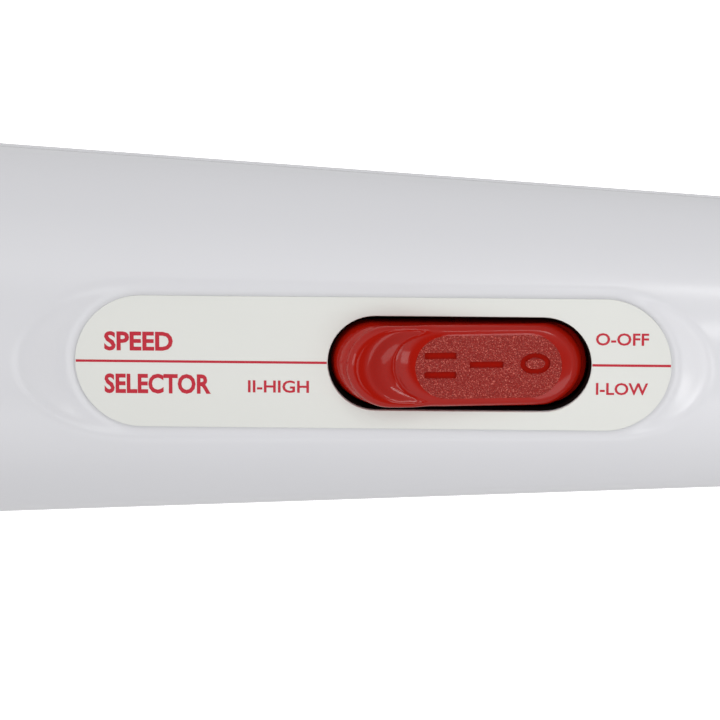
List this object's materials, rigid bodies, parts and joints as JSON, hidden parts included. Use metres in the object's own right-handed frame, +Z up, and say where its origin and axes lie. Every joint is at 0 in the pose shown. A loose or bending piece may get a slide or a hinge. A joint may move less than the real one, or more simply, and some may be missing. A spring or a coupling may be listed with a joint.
{
  "type": "handheld wand massager",
  "caption": "Corded handheld wand massager: tapered round handle with a recessed three-position rocker, flexible neck and a soft ball head",
  "frame": {"origin": "centre of the whole wand's footprint, on the plane of the narrow flat along the handle's back that it rests on", "axes": "+X from the head towards the tail, along the resting flat; +Z up, towards the switch side; +Y across. The wand's own axis leans 3.3 degrees tail-down from X"},
  "size_m": [0.3104, 0.0616, 0.0651],
  "materials": {
    "casing_white": "glossy moulded plastic, cool white",
    "label_satin": "satin printed polyester label, off-white",
    "foil_silver": "satin silver foil label",
    "rocker_red": "glossy deep red plastic with a fine-grained pad",
    "switch_black": "black moulded plastic",
    "collar_grey": "glossy pale grey plastic",
    "soft_vinyl": "soft matt vinyl, off-white",
    "black_rubber": "matt moulded rubber",
    "nylon": "natural nylon",
    "plated_steel": "bright zinc-plated steel",
    "cast_metal": "plain sintered or pressed metal",
    "brass": "plain brass or oil bronze",
    "copper": "enamelled copper wire and bars",
    "ferrite": "dark ferrite or carbon",
    "board_green": "green circuit board"
  },
  "bodies": {
    "handle": {"front_shell": "casing_white", "rear_shell": "casing_white", "casing_screw_1": "plated_steel", "casing_screw_2": "plated_steel", "casing_screw_3": "plated_steel", "casing_screw_4": "plated_steel", "casing_screw_5": "plated_steel", "casing_screw_6": "plated_steel", "inlet_gland": "black_rubber", "neck_hub": "nylon", "neck_collar": "collar_grey", "motor_can": "cast_metal", "motor_end_cap": "switch_black", "motor_bearing_front": "brass", "motor_bearing_rear": "brass", "magnet_1": "ferrite", "magnet_2": "ferrite", "brush_1": "ferrite", "brush_2": "ferrite", "motor_mount_front": "black_rubber", "motor_mount_rear": "black_rubber", "circuit_board": "board_green", "rectifier": "switch_black", "capacitor": "collar_grey", "thermal_fuse": "nylon", "cord_clamp": "nylon", "clamp_screw_1": "plated_steel", "clamp_screw_2": "plated_steel", "control_label": "label_satin", "switch_housing": "switch_black", "terminal_low": "brass", "terminal_common": "brass", "terminal_high": "brass", "rating_label": "foil_silver"},
    "rotor": {"motor_shaft": "plated_steel", "cooling_fan": "nylon", "rotor_core": "cast_metal", "rotor_winding_front": "copper", "rotor_winding_rear": "copper", "commutator": "copper", "coupling_rear_hub": "brass"},
    "neck": {"neck_sleeve": "soft_vinyl", "neck_spring": "plated_steel"},
    "head": {"head_cover": "soft_vinyl", "head_housing": "nylon", "head_base": "nylon", "head_bearing_front": "brass", "head_bearing_rear": "brass"},
    "eccentric": {"eccentric_shaft": "plated_steel", "eccentric_weight": "cast_metal", "shaft_clip": "plated_steel", "coupling_front_hub": "brass", "coupling_spring": "plated_steel"},
    "rocker": {"rocker_button": "rocker_red", "detent_plunger": "nylon", "detent_spring": "plated_steel"},
    "contact": {"contact_lever": "brass"}
  },
  "joints": [
    {"name": "motor_spin", "type": "hinge", "parent": "handle", "child": "rotor", "pos_m": [-0.00944, 0, 0.02739], "axis": [0.9983, 0, -0.0576], "continuous": true},
    {"name": "neck_pitch", "type": "hinge", "parent": "handle", "child": "neck", "pos_m": [-0.08392, 0, 0.03169], "axis": [0, 1, 0], "range_deg": [-8, 8], "stiffness_Nm_per_rad": 6, "deforming": ["neck_sleeve", "neck_spring", "coupling_spring"]},
    {"name": "neck_yaw", "type": "hinge", "parent": "neck", "child": "head", "pos_m": [-0.08392, 0, 0.03169], "axis": [0.0576, 0, 0.9983], "range_deg": [-8, 8], "stiffness_Nm_per_rad": 6, "deforming": ["neck_sleeve", "neck_spring", "coupling_spring"]},
    {"name": "eccentric_spin", "type": "hinge", "parent": "head", "child": "eccentric", "pos_m": [-0.12425, 0, 0.03401], "axis": [0.9983, 0, -0.0576], "continuous": true},
    {"name": "rocker_tilt", "type": "hinge", "parent": "handle", "child": "rocker", "pos_m": [0.05597, 0, 0.03722], "axis": [0, -1, 0], "range_deg": [0, 14]},
    {"name": "contact_tilt", "type": "hinge", "parent": "handle", "child": "contact", "pos_m": [0.05545, 0, 0.03275], "axis": [0, 1, 0], "range_deg": [0, 7]}
  ],
  "couplings": [
    {"joint": "eccentric_spin", "follows": "motor_spin", "ratio": 1},
    {"joint": "contact_tilt", "follows": "rocker_tilt", "ratio": 0.5}
  ]
}
